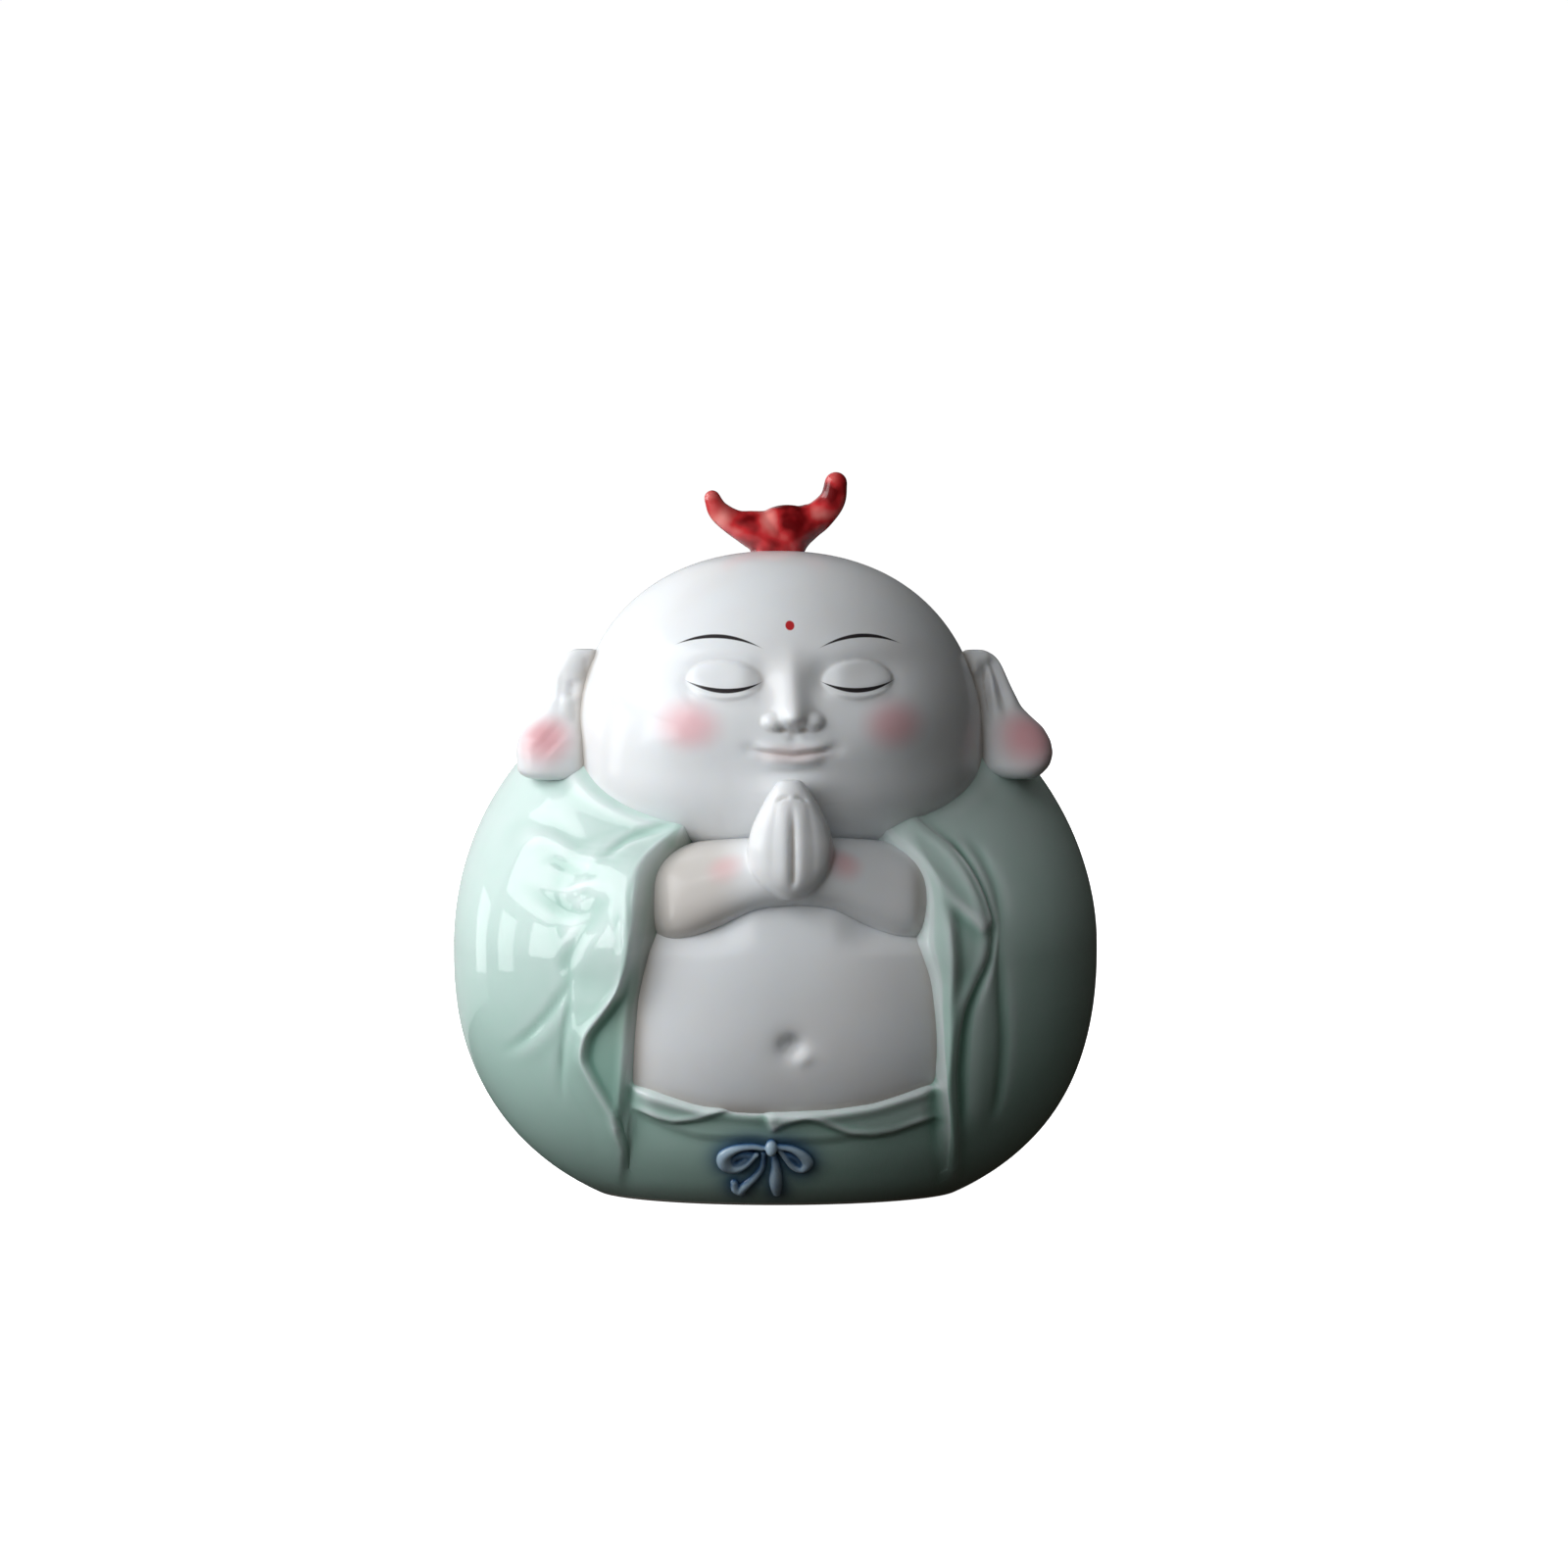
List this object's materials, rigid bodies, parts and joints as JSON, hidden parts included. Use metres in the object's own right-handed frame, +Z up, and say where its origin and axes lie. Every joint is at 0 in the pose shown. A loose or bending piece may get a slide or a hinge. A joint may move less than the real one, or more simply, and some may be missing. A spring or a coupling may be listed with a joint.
{
  "type": "budai figure",
  "caption": "Small glazed porcelain budai, egg-shaped and robed, with a round head, horned crown knot, bare belly and hands pressed together.",
  "frame": {"origin": "middle of the figure's box on the floor it stands on, at the middle of the flat foot", "axes": "+Z up, -Y the way the figure faces, +X to the right of someone who looks at its face"},
  "size_m": [0.089, 0.0846, 0.0999],
  "materials": {
    "celadon_glaze": "pale celadon glaze over white porcelain, clear and very glossy, deeper where it pools in the folds",
    "white_glaze": "clear gloss glaze on white porcelain, with soft pink blush on cheeks, ear lobes and wrists",
    "red_glaze": "painted red enamel, glossy, paler where it thins over the edges",
    "blue_glaze": "painted cobalt blue enamel, glossy, paler where it thins over the edges"
  },
  "bodies": {
    "root": {"budai_figure": "celadon_glaze"}
  },
  "joints": []
}
